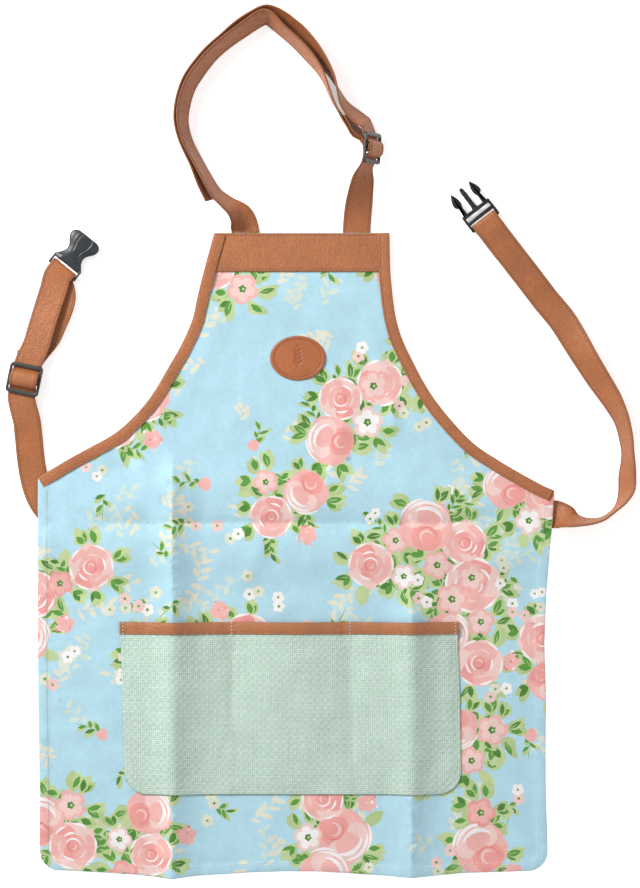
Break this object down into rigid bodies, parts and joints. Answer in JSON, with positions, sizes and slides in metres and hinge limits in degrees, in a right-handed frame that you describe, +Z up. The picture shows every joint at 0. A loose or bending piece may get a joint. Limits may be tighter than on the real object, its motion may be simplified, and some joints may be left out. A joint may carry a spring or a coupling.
{
  "type": "gardening apron",
  "caption": "Flower-print bib apron with leather edging, a mesh pocket in three compartments, an adjustable neck strap and buckled waist straps, lying face up.",
  "frame": {"origin": "middle of the footprint of the lying apron, on the table", "axes": "+Y from the hem toward the neck strap, +X to the right of the apron as it lies face up, +Z up out of its face"},
  "size_m": [0.6794, 0.9398, 0.0361],
  "materials": {
    "print_cloth": "printed plain-weave cotton, matte",
    "mesh_cloth": "open plain weave, matte",
    "leather": "tan, fine grain, satin",
    "slate_plastic": "moulded, satin",
    "grey_plastic": "moulded, satin",
    "black_plastic": "moulded, satin"
  },
  "bodies": {
    "root": {"main_panel": "print_cloth", "top_band": "leather", "left_binding": "leather", "right_binding": "leather", "pocket_panel": "mesh_cloth", "pocket_binding": "leather", "badge": "leather", "neck_strap_left": "leather", "neck_strap_right": "leather", "neck_slider": "slate_plastic", "waist_strap_left": "leather", "waist_slider": "grey_plastic", "female_buckle": "slate_plastic", "waist_strap_right": "leather", "male_buckle": "black_plastic"}
  },
  "joints": []
}
